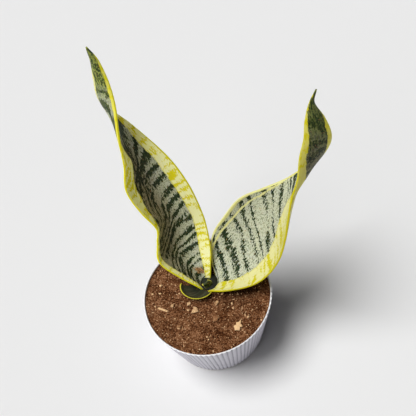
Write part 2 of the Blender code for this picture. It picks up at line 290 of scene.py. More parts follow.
rightLeaf = {
    "node": "leaf_right",
    "slices": 230,
    "thickness": 3.0,
    "rim": 1.9,
    "tip": 1.2,
    "rows": (
        (0.00, 12.5, 17, -11, 1.6, 4, -11, 8, 8),
        (0.05, 12.5, 18, 1, 1.6, 4, 1, 8, 8),
        (0.10, 12, 26, 11, 14, -3.5, 8, 8, 8),
        (0.15, 14.5, 35, 22, 30, -9, 14, 10, 10),
        (0.22, 20, 41, 37, 45, -12, 21, 14, 14),
        (0.30, 33, 45, 53, 58, -12, 32, 17, 17),
        (0.40, 50, 47, 72, 70, -9, 49, 18, 16),
        (0.50, 70, 43, 84, 78, -5, 73, 16, 9),
        (0.60, 88, 38, 96, 84, 1, 96, 10, 5),
        (0.68, 99, 36, 104, 89, 5, 116, 6, 4),
        (0.76, 112, 30, 122, 96, 10, 133, 5, 5),
        (0.83, 126, 27, 140, 101, 18, 151, 4, 4),
        (0.88, 130, 27, 156, 107, 25, 163, 3, 3),
        (0.93, 127, 34, 171, 111, 33, 175, 3, 3),
        (0.97, 121, 42, 184, 117, 40, 186, 2, 2),
        (1.00, 124.5, 44.2, 194, 123.5, 43.8, 194.3, 0.2, 0.2),
    ),
    "margins": (
        (0.00, 1.0, 7.0),
        (0.06, 1.2, 9.0),
        (0.10, 1.2, 11.5),
        (0.14, 1.2, 12.0),
        (0.20, 1.3, 14.0),
        (0.27, 2.2, 16.5),
        (0.33, 3.2, 17.8),
        (0.40, 2.2, 20.2),
        (0.47, 1.6, 23.0),
        (0.55, 1.5, 22.0),
        (0.62, 1.5, 19.0),
        (0.70, 2.5, 13.0),
        (0.78, 4.0, 7.5),
        (0.83, 5.0, 5.6),
        (0.87, 5.2, 5.0),
        (0.91, 4.0, 3.0),
        (0.95, 0.8, 1.2),
        (0.98, -1.0, 0.2),
        (1.00, -2.0, -1.0),
    ),
    "bandShift": ((0.0, -0.18), (0.3, -0.13), (0.6, -0.06), (1.0, 0.0)),
    "bandRise": ((0.0, 0.0), (0.3, 1.0), (0.6, 1.0), (0.9, 0.0), (1.0, 0.0)),
    "green": ((0.0, 0.0), (0.66, 0.0), (0.80, 0.7), (0.93, 0.95), (1.0, 1.0)),
    # a thin second yellow line: share of the length, then its distance from the left edge
    "stripe": ((0.10, 0.8), (0.15, 1.5), (0.20, 4.7), (0.27, 7.0), (0.34, 8.3), (0.40, 9.2), (0.47, 6.6),
               (0.55, 2.6), (0.62, 0.6), (0.70, 0.2)),
    "stripeWidth": 2.0,
    "drySpot": None,
    # painted shade: the right blade's tip is darkened brown where it lies in shade
    "paintedShadeAlong": ((0.0, 0.0), (0.72, 0.0), (0.80, 1.0), (0.88, 0.5), (0.93, 0.0), (1.0, 0.0)),
    "paintedShadeAcross": ((0.0, 0.8), (0.55, 1.0), (1.0, 1.0)),
    "boldAlong": ((0.0, 0.0), (0.2, -0.3), (0.4, -0.55), (0.6, -0.5), (0.75, 0.3), (1.0, 0.3)),
    "boldAcross": ((0.0, 0.5), (0.25, 0.1), (0.6, 0.0), (1.0, 0.0)),
    # painted shade: the right blade's margins are dimmed where the light falls full on them
    "paintedMarginLight": ((0.0, 0.88), (0.5, 0.86), (1.0, 0.79)),
    "gold": ((0.0, 0.2), (0.35, 0.2), (0.5, 1.0), (1.0, 1.0)),
    "gilt": ((0.0, 0.12), (0.60, 0.12), (0.72, 0.62), (1.0, 0.75)),
    "giltAcross": ((0.0, 1.0), (1.0, 1.0)),
    # painted shade: the right blade's tip green is darker than the left blade's, for the shade it lies in
    "tipGreen": (0.13, 0.155, 0.035),
    "tipDark": (0.016, 0.034, 0.006),
    "crowding": 0.09,
    "seed": 11.0,
}
youngLeaf = {
    "node": "young_leaf",
    "slices": 40,
    "thickness": 1.6,
    "rim": 1.6,
    "tip": 1.6,
    "rows": (
        (0.00, 0, 8, -8, 7.5, 11, -8, -2, -2),
        (0.50, 0, 8, 1, 7.5, 11, 1, -2.5, -2.5),
        (0.80, -1, 8, 6, 6.5, 11, 7, -2.5, -2.5),
        (1.00, -2, 8, 9.5, 4.5, 10.5, 11, -2, -2),
    ),
    "margins": ((0.0, 0.9, 0.5), (1.0, 1.1, 0.5)),
    "bandShift": ((0.0, 0.0), (1.0, 0.0)),
    "bandRise": ((0.0, 0.0), (1.0, 0.0)),
    "green": ((0.0, 0.9), (1.0, 0.9)),
    "stripe": None,
    "drySpot": None,
    # painted shade: the young leaf is darkened a little all over
    "paintedShadeAlong": ((0.0, 0.3), (1.0, 0.3)),
    "paintedShadeAcross": ((0.0, 1.0), (1.0, 1.0)),
    "boldAlong": ((0.0, 0.5), (1.0, 0.5)),
    "boldAcross": ((0.0, 0.0), (1.0, 0.0)),
    "paintedMarginLight": ((0.0, 0.8), (1.0, 0.8)),
    "gold": ((0.0, 1.0), (1.0, 1.0)),
    "gilt": ((0.0, 0.6), (1.0, 0.6)),
    "giltAcross": ((0.0, 1.0), (1.0, 1.0)),
    "tipGreen": (0.09, 0.12, 0.03),
    "tipDark": (0.012, 0.030, 0.006),
    "crowding": 0.0,
    "seed": 23.0,
}


# a smooth curve through the stations, with each slope taken from its neighbours
def smoothValues(stations, values, at):
    slopes = np.gradient(values, stations, axis=0)
    first = np.clip(np.searchsorted(stations, at, side="right") - 1, 0, len(stations) - 2)
    span = (stations[first + 1] - stations[first])[:, None]
    t = (at - stations[first])[:, None] / span
    start = values[first] * (2 * t**3 - 3 * t**2 + 1) + slopes[first] * span * (t**3 - 2 * t**2 + t)
    end = values[first + 1] * (3 * t**2 - 2 * t**3) + slopes[first + 1] * span * (t**3 - t**2)
    return start + end


def along(pairs, at):
    pairs = np.array(pairs, float)
    return np.interp(at, pairs[:, 0], pairs[:, 1])


def unit(vectors):
    return vectors / np.maximum(np.linalg.norm(vectors, axis=-1, keepdims=True), 1e-12)


def bladeSpots(width, rim):
    near = np.array(bladeStyle["rounding"]) * rim / 2 / width
    inner = np.linspace(near[-1], 1 - near[-1], bladeStyle["across"])[1:-1]
    return np.concatenate([near, inner, 1 - near[::-1]])


# the middle sheet of a blade, its half thickness and its front direction, all in millimetres
def bladeSheet(leaf, at):
    rows = np.array(leaf["rows"], float)
    values = smoothValues(rows[:, 0], rows[:, 1:], at)
    left, right, hollow = values[:, 0:3], values[:, 3:6], values[:, 6:8]
    chord = right - left
    inward = unit(np.cross(chord, unit(np.gradient((left + right) / 2, at, axis=0))))
    first = left + bladeStyle["shoulder"] * chord - inward * hollow[:, :1]
    second = right - bladeStyle["shoulder"] * chord - inward * hollow[:, 1:]
    width = np.linalg.norm(chord, axis=1) + bladeStyle["widening"] * hollow.sum(axis=1)
    full = np.clip((1 - at) / bladeStyle["taperShare"], 0, 1) ** bladeStyle["taperCurve"]
    most = width * bladeStyle["mostShare"]
    body = np.minimum(leaf["tip"] + (leaf["thickness"] - leaf["tip"]) * full, most)
    rim = np.minimum(leaf["tip"] + (leaf["rim"] - leaf["tip"]) * full, most)
    spots = np.array([bladeSpots(max(w, 1e-3), r) for w, r in zip(width, rim)])
    u = spots[..., None]
    sheet = (1 - u) ** 3 * left[:, None] + 3 * u * (1 - u) ** 2 * first[:, None]
    sheet = sheet + 3 * u**2 * (1 - u) * second[:, None] + u**3 * right[:, None]
    inset = np.clip(np.minimum(spots, 1 - spots) * width[:, None] / (rim[:, None] / 2), 0, 1)
    swell = np.sin(np.pi * spots)
    half = 0.5 * (rim[:, None] + (body - rim)[:, None] * swell) * np.sqrt(1 - (1 - inset) ** 2)
    normal = unit(np.cross(np.gradient(sheet, axis=1), np.gradient(sheet, axis=0)))
    normal[-1] = normal[-2]
    return spots, sheet, half, normal


# the faces of a closed blade: the front and back as rings, and both ends as strips
def bladeFaces(rows, places):
    ring = 2 * places - 2
    faces = wallFaces(rows, ring)
    for row in (0, rows - 1):
        start = row * ring
        for j in range(places - 1):
            corners = [start + j, start + j + 1, start + ring - j - 1, start + (ring - j) % ring]
            corners = [c for n, c in enumerate(corners) if c not in corners[:n]]
            faces.append(tuple(corners[::-1] if row == 0 else corners))
    return faces


# lengths along the rows of points, or down them
def runLengths(points, axis):
    steps = np.linalg.norm(np.diff(points, axis=axis), axis=2)
    start = np.zeros_like(steps[:1] if axis == 0 else steps[:, :1])
    return np.cumsum(np.concatenate([start, steps], axis=axis), axis=axis)


# front face in order, then the back face returning, for each row
def ringed(front, back):
    return np.concatenate([front, back[:, -2:0:-1]], axis=1).reshape(-1, front.shape[-1])


def makeBlade(name, leaf, material):
    style = bladeStyle
    at = np.linspace(0, 1, leaf["slices"])
    spots, sheet, half, normal = bladeSheet(leaf, at)
    places = spots.shape[1]
    fromLeft = runLengths(sheet, 1)
    fromRight = fromLeft[:, -1:] - fromLeft
    length = runLengths(sheet[:, places // 2][:, None], 0)[-1, 0]
    shares = np.repeat(at[:, None], places, axis=1)
    margins = np.array(leaf["margins"], float)
    margin = np.maximum(
        np.interp(shares, margins[:, 0], margins[:, 1]) - fromLeft,
        np.interp(shares, margins[:, 0], margins[:, 2]) - fromRight,
    )
    if leaf["stripe"]:
        ends = [pair[0] for pair in leaf["stripe"]]
        beside = np.abs(fromLeft - along(leaf["stripe"], shares))
        stripe = leaf["stripeWidth"] / 2 - beside
        margin = np.where((shares > ends[0]) & (shares < ends[-1]), np.maximum(margin, stripe), margin)
    shift = along(leaf["bandShift"], spots) * along(leaf["bandRise"], shares)
    crowding = leaf["crowding"] * (1 - np.exp(-shares / style["crowdingReach"]))
    band = (shares + shift + crowding) * length
    dry = np.zeros_like(shares)
    if leaf["drySpot"]:
        share, beside, size = leaf["drySpot"]
        away = np.hypot((shares - share) * length * style["dryStretch"], fromLeft - beside) / size
        dry = np.clip(style["dryFade"] - away, 0, 1)
    green = along(leaf["green"], shares)
    edge = np.minimum(fromLeft, fromRight)
    # painted shade: a brown darkening over the parts of the blade where shade falls
    paintedShade = along(leaf["paintedShadeAlong"], shares) * along(leaf["paintedShadeAcross"], spots)
    bold = along(leaf["boldAlong"], shares) + along(leaf["boldAcross"], spots)
    # painted light: the margin's brightness for the light that falls on each side
    paintedMarginLight = along(leaf["paintedMarginLight"], spots)
    gold = np.maximum(along(leaf["gold"], spots), green)
    gilt = along(leaf["gilt"], shares) * along(leaf["giltAcross"], spots)
    offset = normal * half[..., None]
    points = fromCrown(ringed(sheet + offset, sheet - offset))
    piece = newPiece(name, points, bladeFaces(len(at), places), material, [leaf["node"]])
    sides = []
    for seed in (leaf["seed"], leaf["seed"] + style["backSeed"]):
        layer = np.full_like(shares, seed)
        sides.append(np.stack([fromLeft - fromLeft[:, -1:] / 2, band, layer], axis=-1))
    addVectors(piece, "leafPlace", ringed(*sides))
    kept = {"leafEdge": (margin, edge, green), "leafSpot": (dry, paintedShade, bold), "leafTone": (paintedMarginLight, gold, gilt)}
    for vectorName, values in kept.items():
        vectors = np.stack(values, axis=-1)
        addVectors(piece, vectorName, ringed(vectors, vectors))


leafLook = {
    # each field of noise: across, along and through the blade, then detail and roughness
    "fibre": (0.55, 0.15, 1, 3.0, 0.7),
    "fleck": (0.60, 0.45, 1, 2.0, 0.65),
    "grain": (0.9, 0.7, 3, 2.0, 0.7),
    "drift": (0.022, 0.040, 1, 1.0),
    "amount": (0.07, 0.045, 2, 1.0),
    "lines": (2.6, 0.03, 1, 1.0),
    # the dark bands, in millimetres: their pitch, how far they wander and how jagged they are
    "bandPitch": 12.5,
    "bandDrift": 22,
    "bandJag": 15,
    "bandAmount": 2.4,
    "bandFleck": 3.7,
    "bandCut": (0.28, 0.34),
    "paintedShadeFade": 0.6,  # how far the painted shade fades the bands, and how far it frays them
    "paintedShadeFray": 5,
    "paintedShadeDepth": 0.75,
    "paintedShadeFibre": 0.3,
    "grainShare": 0.7,
    "grainCut": (0.43, 0.50),
    "sheathShadeCut": (0.42, 0.7),
    "mottleCut": (0.46, 0.54),
    "mottleDark": 0.35,
    "mottleFleck": 0.8,
    "dryAmount": 1.3,
    "dryFleck": 3.5,
    "dryCut": (0.3, 1.1),
    "driedCut": (0.44, 0.56),
    # the margins, in millimetres: how ragged their inner edge is, the bright outer line and the streaks
    "marginFibre": 3.6,
    "marginFleck": 2.0,
    "marginCut": (-0.25, 0.30),
    "rimRagged": 1.6,
    "rimCut": (0.6, 0.24),
    "lineCut": (1.6, 0.2),
    "lineAmount": 0.5,
    "streakPitch": 9.0,
    "streakAmount": 5.0,
    "streakFleck": 4.0,
    "streakCut": (0.20, 0.65),
    "lineDepth": 0.4,
    "bumpStrength": 0.35,
    "bumpHeight": 0.0004,
    "pale": (0.56, 0.575, 0.43),
    "paleShade": (0.20, 0.235, 0.14),
    "dark": (0.007, 0.020, 0.005),
    "darkShade": (0.022, 0.046, 0.012),
    # painted shade: the brown that the shaded parts of a blade are multiplied by
    "paintedShadeTint": (0.58, 0.45, 0.34),
    "cream": (0.84, 0.82, 0.42),
    "yellow": (0.68, 0.61, 0.006),
    "dry": (0.50, 0.27, 0.11),
    "dryShade": (0.16, 0.09, 0.04),
    "softness": 0.5,
    "softRadius": (1.0, 0.9, 0.3),
    "softDepth": 0.005,
}


def makeLeafMaterial(name, leaf):
    look = leafLook
    material, start, shader = newMaterial(
        name,
        Roughness=0.5,
        Specular_IOR_Level=0.18,
        Subsurface_Weight=look["softness"],
        Subsurface_Radius=look["softRadius"],
        Subsurface_Scale=look["softDepth"],
    )
    place = carried(start, "leafPlace")
    margin, edge, green = carried(start, "leafEdge").parts()
    dry, paintedShade, bold = carried(start, "leafSpot").parts()
    paintedMarginLight, gold, gilt = carried(start, "leafTone").parts()
    fibre, fleck, grain = (place.noise(*look[field]) for field in ("fibre", "fleck", "grain"))
    drift, amount, lines = (place.noise(*look[field]) for field in ("drift", "amount", "lines"))
    # the bands are jagged along the fibres, and broken by patches and flecks
    run = place.parts()[1] + (drift - 0.5) * look["bandDrift"] + (fibre - 0.5) * look["bandJag"]
    level = run.wave(look["bandPitch"]) * (1 - paintedShade * look["paintedShadeFade"]) + bold
    level = level + (amount - 0.5) * look["bandAmount"] + (fleck - 0.5) * look["bandFleck"]
    dark = (level + paintedShade * (fibre - 0.5) * look["paintedShadeFray"]).step(*look["bandCut"])
    speck = (grain * look["grainShare"] + fibre * (1 - look["grainShare"])).step(*look["grainCut"])
    pale = speck.mix(look["paleShade"], look["pale"])
    deep = fleck.step(*look["sheathShadeCut"]).mix(look["dark"], look["darkShade"])
    inner = dark.mix(pale, deep)
    # the tip turns green; the dry spot and the painted shade, a brown darkening, lie over all of it
    fine = fibre * 0.5 + fleck * 0.5
    mottle = dark * look["mottleDark"] + fine.step(*look["mottleCut"]) * look["mottleFleck"]
    mottle = mottle.step(0.1, 0.9)
    inner = green.mix(inner, mottle.mix(leaf["tipGreen"], leaf["tipDark"]))
    dried = fine.step(*look["driedCut"]).mix(look["dryShade"], look["dry"])
    spot = dry * look["dryAmount"] + (fleck - 0.5) * look["dryFleck"]
    inner = spot.step(*look["dryCut"]).mix(inner, dried)
    # painted shade: the shaded parts of the blade are darkened brown
    brown = paintedShade * (look["paintedShadeDepth"] + fibre * look["paintedShadeFibre"])
    inner = brown.mix(inner, look["paintedShadeTint"], "MULTIPLY")
    # the margin has a bright outer line, and bright streaks where the bands run out into it
    ragged = margin + (fibre - 0.5) * look["marginFibre"] + (fleck - 0.5) * look["marginFleck"]
    yellow = ragged.step(*look["marginCut"])
    rim = (edge + (fibre - 0.5) * look["rimRagged"]).step(*look["rimCut"])
    streak = run.wave(look["streakPitch"]) + (amount - 0.5) * look["streakAmount"]
    streak = (streak + (fleck - 0.5) * look["streakFleck"]).step(*look["streakCut"])
    line = margin.step(*look["lineCut"]) * look["lineAmount"]
    bright = (rim.most(streak).most(line) * gold).most(gilt)
    colour = yellow.mix(inner, bright.mix(look["cream"], look["yellow"]))
    # painted light: the margin is scaled by its painted light, and all of the blade by its fine lines
    tone = (yellow * (paintedMarginLight - 1) + 1) * (lines * look["lineDepth"] + (1 - look["lineDepth"] / 2))
    connect(material, tone.shade(colour), shader, "Base Color")
    connect(material, 0.44 + fleck * 0.14 + dry * 0.2, shader, "Roughness")
    height = lines * 0.8 + fibre * 0.4 + dark * 0.15
    bump = bumped(start, height, look["bumpStrength"], look["bumpHeight"])
    connect(material, bump, shader, "Normal")
    return material


makeBlade("leftLeaf", leftLeaf, makeLeafMaterial("leftLeafSkin", leftLeaf))
makeBlade("rightLeaf", rightLeaf, makeLeafMaterial("rightLeafSkin", rightLeaf))
makeBlade("youngLeaf", youngLeaf, makeLeafMaterial("youngLeafSkin", youngLeaf))
print("leaves made")

# the sheath is a low flaring cup round the front of the crown
sheathStyle = {
    "thickness": 1.1,
    "footRadius": 12.0,
    "rimRadius": 19.0,
    "height": 9.0,
    "endShare": 0.55,
    "riseCurve": 0.6,
    "rooted": 4.0,
    "centre": (-4.5, 13.5),
    "facing": 236,
    "footSpread": 58,
    "rimSpread": 78,
    "steps": 72,
    "rows": 16,
    "thinShare": 0.35,  # the thickness left at the rim, and how soon it is full below
    "thinFade": 4,
    "endPower": 12,
    "endLeast": 0.06,
    "fill": 11.0,  # how far the inner wall comes in at the foot
    "fillShare": 0.6,
    "seed": 31.0,
    "lineCut": (-0.75, -0.35),  # heights from the rim, in millimetres, and how ragged
    "lineRagged": 0.6,
    # painted shade: the sheath's inside darkens from 2.5 to 7.5 mm below its rim, raggedly
    "sheathShadeCut": (-2.5, -7.5),
    "sheathShadeRagged": 4,
    # each field of noise: across, along and through the sheath, then detail
    "veins": (1.8, 0.12, 1, 3.0),
    "patches": (0.25, 0.3, 1, 2.0),
    "veinCut": (0.48, 0.66),
    "veinAmount": 0.8,
    "patchCut": (0.4, 0.65),
    # painted shade: olive and brown are painted very dark for the shade the sheath stands in, and deep,
    # darker still, is the painted shade down inside it; vein and line are its own veins and yellow rim
    "olive": (0.022, 0.030, 0.009),
    "brown": (0.040, 0.028, 0.012),
    "vein": (0.10, 0.10, 0.06),
    "deep": (0.006, 0.009, 0.003),
    "line": (0.72, 0.66, 0.04),
}


def makeSheathMaterial():
    look = sheathStyle
    material, start, shader = newMaterial("paperySheath", Roughness=0.6, Specular_IOR_Level=0.3)
    place = carried(start, "sheathPlace")
    rise = place.parts()[1]
    veins = place.noise(*look["veins"])
    patch = place.noise(*look["patches"])
    skin = patch.step(*look["patchCut"]).mix(look["olive"], look["brown"])
    skin = (veins.step(*look["veinCut"]) * look["veinAmount"]).mix(skin, look["vein"])
    # painted shade: the skin darkens further below the rim
    deep = (rise + (veins - 0.5) * look["sheathShadeRagged"]).step(*look["sheathShadeCut"])
    skin = deep.mix(skin, look["deep"])
    line = (rise + (veins - 0.5) * look["lineRagged"]).step(*look["lineCut"])
    connect(material, line.mix(skin, look["line"]), shader, "Base Color")
    connect(material, 0.5 + veins * 0.25, shader, "Roughness")
    connect(material, bumped(start, veins, 0.5, 0.0004), shader, "Normal")
    return material


def makeSheath(material):
    style = sheathStyle
    places = np.linspace(0, 1, style["steps"] + 1)
    shares = np.linspace(0, 1, style["rows"] + 1)
    arch = np.sin(np.pi * places) ** style["riseCurve"]
    top = style["height"] * (style["endShare"] + (1 - style["endShare"]) * arch)
    front, back, data = [], [], []
    for share in shares:
        height = (top + style["rooted"]) * share - style["rooted"]
        flare = np.maximum(0, height / style["height"])
        spread = np.radians(style["footSpread"] + (style["rimSpread"] - style["footSpread"]) * flare)
        sideways = 2 * places - 1
        turn = math.radians(style["facing"]) + spread * sideways
        radius = style["footRadius"] + (style["rimRadius"] - style["footRadius"]) * flare
        thin = style["thickness"] / 2 * min(1, style["thinShare"] + style["thinFade"] * (1 - share))
        ends = np.sqrt(np.clip(1 - np.abs(sideways) ** style["endPower"], style["endLeast"], 1))
        filled = style["fill"] * np.clip(1 - height / (top * style["fillShare"]), 0, 1)
        for side, sheet in ((1, front), (-1, back)):
            out = radius + side * thin * ends - (side < 0) * filled
            x = style["centre"][0] + out * np.cos(turn)
            y = style["centre"][1] + out * np.sin(turn)
            sheet.append(np.stack([x, y, height], axis=-1))
        data.append(np.stack([turn * radius, height - top, np.full_like(places, style["seed"])], axis=-1))
    front, back, data = np.array(front), np.array(back), np.array(data)
    points = fromCrown(ringed(front, back))
    faces = bladeFaces(len(shares), len(places))
    piece = newPiece("sheathLeaf", points, faces, material, ["sheath_leaf"])
    addVectors(piece, "sheathPlace", ringed(data, data))


# painted shade: a dark dome in the heart of the crown, where the leaves part, standing in for the shade there
crownShadeStyle = {
    "centre": (5.6, 12.4),
    "size": (9.0, 9.0, 3.6),
    "rings": 24,
    "spokes": 64,
    "ragged": 0.08,
    "shade": -10,  # stands for a height below the sheath's rim, deep in its painted shade, so the dome takes the darkest colour
}


def makeCrownShade(material):
    style = crownShadeStyle
    (centreX, centreY), (wideX, wideY, high) = style["centre"], style["size"]
    rings, spokes = style["rings"] - 1, style["spokes"]
    points, data = [], []
    for ring in range(1, rings + 1):
        fall = math.pi * ring / style["rings"]
        for spoke in range(spokes):
            turn = 2 * math.pi * spoke / spokes
            ragged = style["ragged"] * roughness(math.cos(turn) * 2, math.sin(turn) * 2, 7)
            wide = math.sin(fall) * (1 + ragged)
            x = centreX + wideX * wide * math.cos(turn)
            y = centreY + wideY * wide * math.sin(turn)
            points.append((x, y, high * math.cos(fall)))
            data.append((x, style["shade"], y))
    faces = wallFaces(rings, spokes, 0, True)
    faces += [lidFace(0, spokes), lidFace((rings - 1) * spokes, spokes, True)]
    piece = newPiece("crownShadeDome", fromCrown(points), faces, material, [])
    addVectors(piece, "sheathPlace", data)


sheathMaterial = makeSheathMaterial()
makeSheath(sheathMaterial)
makeCrownShade(sheathMaterial)
print("sheath made")

potStyle = {
    "ribs": 80,
    "ribDepth": 0.8,
    "ribPoints": 8,
    "footRadius": 46.0,
    "footRound": 1.2,
    "wall": 1.6,
    "lip": 0.7,
    "innerDepth": 12.0,
    "innerRings": 5,
    "innerTaper": 1.15,  # the inside narrows a little faster than the outside
    "crestCurve": 0.8,
    "underside": 0.6,  # its inner ring, as a share of the foot
    "footSteps": 6,
    "wallSteps": 12,
    "lipSteps": 9,
    "ribFade": 70,  # the ribs fade over the lip from this turn to twice it, in degrees
    # noise by X, Y and Z, then detail: the glaze's clouds and its specks
    "clouds": (60, 60, 60, 3.0),
    "specks": (900, 900, 900, 2.0),
    "ribTone": 0.7,
    "cloudTone": 0.5,
    "bareRagged": 0.0008,
    "stainRagged": 0.6,
    "stainCut": (0.2, 0.6),
    "paintedLipLight": (0.0030, 0.0012),  # painted light: the lip's top is painted whiter than the wall; metres below the rim, from none of the white to all of it
    "bareFoot": (0.0011, 0.0006),  # metres above the floor, from none of the bare clay to all of it
    # painted shade: the glaze is painted darker than the lip for the shade on the pot's wall; its lavender
    # tint is its own
    "glaze": (0.62, 0.60, 0.67),
    "paintedGrooveShade": (0.25, 0.24, 0.29),
    "rim": (0.90, 0.90, 0.92),
    "stain": (0.30, 0.16, 0.09),
    "foot": (0.62, 0.58, 0.53),
}


def makePotMaterial():
    look = potStyle
    material, start, shader = newMaterial("ceramicGlaze", Roughness=0.4, Specular_IOR_Level=0.45)
    place = position(start)
    rib, inside = carried(start, "ribPlace").parts()[:2]
    cloud = place.noise(*look["clouds"])
    speck = place.noise(*look["specks"])
    # painted shade: the glaze darkens into the grooves between the ribs
    tone = rib * look["ribTone"] + cloud * look["cloudTone"]
    colour = tone.step(0.1, 0.9).mix(look["paintedGrooveShade"], look["glaze"])
    height = place.parts()[2]
    bare = (height + (cloud - 0.5) * look["bareRagged"]).step(*look["bareFoot"])
    # painted light: the lip's top turns white
    lipLightMask = height.step(*(rimHeight - below for below in look["paintedLipLight"]))
    colour = bare.mix(lipLightMask.mix(colour, look["rim"]), look["foot"])
    stained = (inside + (cloud - 0.5) * look["stainRagged"]).step(*look["stainCut"])
    connect(material, stained.mix(colour, look["stain"]), shader, "Base Color")
    connect(material, 0.34 + cloud * 0.12 + bare * 0.4, shader, "Roughness")
    connect(material, bumped(start, speck, 0.15, 0.0003), shader, "Normal")
    return material


# how far the pot narrows for each millimetre down
def wallSlope():
    return (rimRadius / mm - potStyle["footRadius"]) / (rimHeight / mm)


def makePot():
    style = potStyle
    rim, height, wall = rimRadius / mm, rimHeight / mm, style["wall"]
    foot, roundFoot, lip, deep = (style[key] for key in ("footRadius", "footRound", "lip", "innerDepth"))
    slope = wallSlope()
    profile = [(foot * style["underside"], 0.0, 0.0)]  # radius, height, how strongly ribbed
    for turn in np.linspace(0, 90, style["footSteps"]):
        angle = math.radians(turn)
        out = foot - roundFoot + roundFoot * math.sin(angle)
        profile.append((out, roundFoot * (1 - math.cos(angle)), turn / 90))
    for share in np.linspace(0.05, 1, style["wallSteps"]):
        level = roundFoot + (height - lip - roundFoot) * share
        profile.append((foot + slope * (level - roundFoot), level, 1.0))
    for turn in np.linspace(20, 180, style["lipSteps"]):
        angle = math.radians(turn)
        out = rim - wall / 2 + wall / 2 * math.cos(angle)
        ribbed = min(1.0, max(0.0, 2 - turn / style["ribFade"]))
        profile.append((out, height - lip + lip * math.sin(angle), ribbed))
    outer = len(profile)
    for share in np.linspace(0.15, 1, style["innerRings"]):
        profile.append((rim - wall - slope * deep * share * style["innerTaper"], height - deep * share, 0.0))
    count, levels = style["ribs"] * style["ribPoints"], len(profile)
    turns = np.arange(count) * 2 * np.pi / count
    level = np.ones(count)
    crest = np.abs(np.sin(style["ribs"] * turns / 2)) ** style["crestCurve"]
    points, data = [], []
    for number, (radius, height, ribbed) in enumerate(profile):
        out = radius - style["ribDepth"] * ribbed * (1 - crest)
        points.append(np.stack([out * np.cos(turns), out * np.sin(turns), level * height], axis=-1))
        data.append(np.stack([crest * ribbed + (1 - ribbed), level * (number >= outer), level * 0], axis=-1))
    faces = wallFaces(levels, count)
    faces += [lidFace(0, count, True), lidFace((levels - 1) * count, count)]
    points, data = np.concatenate(points), np.concatenate(data)
    piece = newPiece("pot", points * mm, faces, makePotMaterial(), ["pot"])
    addVectors(piece, "ribPlace", data)


makePot()
print("pot made")

# the soil is lumpy, stands highest in the middle and has crumbs pressed into it
soilStyle = {
    "rings": 110,
    "spokes": 400,
    "ringCurve": 0.8,
    "depth": 11.0,
    "wallDepth": 8.0,
    "edgeGap": 0.15,
    "sink": 0.25,
    "lumps": ((0.35, 0.12, 1), (0.30, 0.5, 2), (0.28, 1.3, 3)),  # height, how close together, seed
    # noise by X, Y and Z, then detail and roughness
    "grit": (700, 700, 700, 3.0, 0.6),
    "patches": (110, 110, 110, 2.0),
    "cells": 1300.0,
    # how much each pattern counts toward the tone, and the colour of each tone
    "cellTone": 0.46,
    "gritTone": 0.78,
    "patchTone": 0.6,
    "tones": (
        (0.0, (0.040, 0.011, 0.003)),
        (0.42, (0.040, 0.011, 0.003)),
        (0.62, (0.155, 0.060, 0.023)),
        (0.88, (0.32, 0.155, 0.075)),
    ),
    "fleck": (0.78, 0.52, 0.29),
    "fleckCut": (0.975, 1.01),
    # painted shadow: the soil under the right leaf is darkened for that leaf's shadow: where, in metres, from
    # its edge to its darkest, and how dark
    "leafShadowCentre": (0.026, 0.012),
    "leafShadowReach": (0.036, 0.014),
    "leafShadowDepth": 0.55,
    "leafShadowRagged": 0.0008,
}


def makeSoilMaterial():
    look = soilStyle
    material, start, shader = newMaterial("darkSoil", Roughness=0.95, Specular_IOR_Level=0.05)
    place = position(start)
    grains = start.node("ShaderNodeTexVoronoi", None, {"Vector": place, "Scale": look["cells"]}, "Color")
    cells = grains.parts()[0]
    grit = place.noise(*look["grit"])
    patch = place.noise(*look["patches"])
    tone = cells * look["cellTone"] + grit * look["gritTone"] + (patch - 0.5) * look["patchTone"]
    colour = start.node("ShaderNodeValToRGB", {"stops": look["tones"]}, {0: tone}, "Color")
    # painted shadow of the right leaf, darkening the soil under it
    (shadowX, shadowY), (reach, core) = look["leafShadowCentre"], look["leafShadowReach"]
    across, back = place.parts()[:2]
    fromX, fromY = across - shadowX, back - shadowY
    leafShadow = fromX * fromX + fromY * fromY + (patch - 0.5) * look["leafShadowRagged"]
    leafShadow = leafShadow.step(reach**2, core**2)
    colour = (1 - leafShadow * look["leafShadowDepth"]).shade(colour)
    fleck = (cells + (grit - 0.5) * 0.5).step(*look["fleckCut"])
    connect(material, fleck.mix(colour, look["fleck"]), shader, "Base Color")
    connect(material, 0.85 + grit * 0.15, shader, "Roughness")
    connect(material, bumped(start, grit + cells * 0.5, 0.8, 0.0006), shader, "Normal")
    return material


def soilLevel(x, y):
    radius = math.hypot(x, y) / (rimRadius / mm - potStyle["wall"])
    level = soilCrown * (1 - radius**2) - soilStyle["sink"]
    for height, pitch, seed in soilStyle["lumps"]:
        level += height * roughness(x * pitch, y * pitch, seed)
    return level


def makeSoil(material):
    style = soilStyle
    rings, spokes = style["rings"], style["spokes"]
    slope = wallSlope() * potStyle["innerTaper"]
    edge = rimRadius / mm - potStyle["wall"] - style["edgeGap"] - slope * (rimHeight - crownPoint.z) / mm
    points = [(0, 0, soilLevel(0, 0))]
    radii = [edge * (ring / rings) ** style["ringCurve"] for ring in range(1, rings + 1)]
    for radius in (*radii, edge - slope * style["depth"]):
        for spoke in range(spokes):
            turn = 2 * math.pi * spoke / spokes
            x, y = radius * math.cos(turn), radius * math.sin(turn)
            top = len(points) <= rings * spokes
            points.append((x, y, soilLevel(x, y) if top else -style["wallDepth"]))
    faces = [(0, 1 + spoke, 1 + (spoke + 1) % spokes) for spoke in range(spokes)]
    faces += wallFaces(rings + 1, spokes, 1, True)
    faces.append(lidFace(1 + rings * spokes, spokes, True))
    newPiece("soil", fromCrown(points), faces, material, ["soil"])
    return edge


